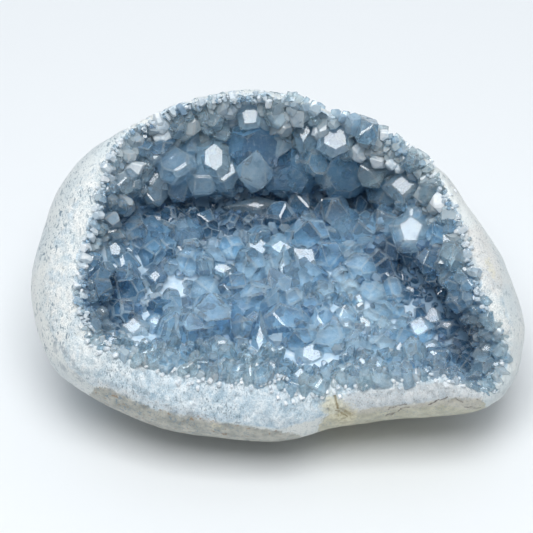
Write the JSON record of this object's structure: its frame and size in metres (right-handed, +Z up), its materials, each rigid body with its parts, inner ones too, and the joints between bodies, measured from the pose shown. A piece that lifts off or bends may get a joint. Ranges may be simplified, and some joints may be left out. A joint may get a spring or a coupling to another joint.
{
  "type": "celestite geode",
  "caption": "Rounded celestite geode with a pale granular stone wall and a hollow face lined with blue-grey crystals, resting on a small flat spot.",
  "frame": {"origin": "bottom centre of the bounding box, on the plane of the flat rest spot", "axes": "+Z up, +X to the right along the longest side, the hollow faces up and towards -Y"},
  "size_m": [0.1502, 0.1124, 0.0745],
  "materials": {
    "rind": "granular white to pale blue-grey, ground smooth and tan on the outer skin",
    "crystal": "clear to milky blue-grey crystal with glassy faces"
  },
  "bodies": {
    "root": {"rind": "rind", "crystals": "crystal"}
  },
  "joints": []
}
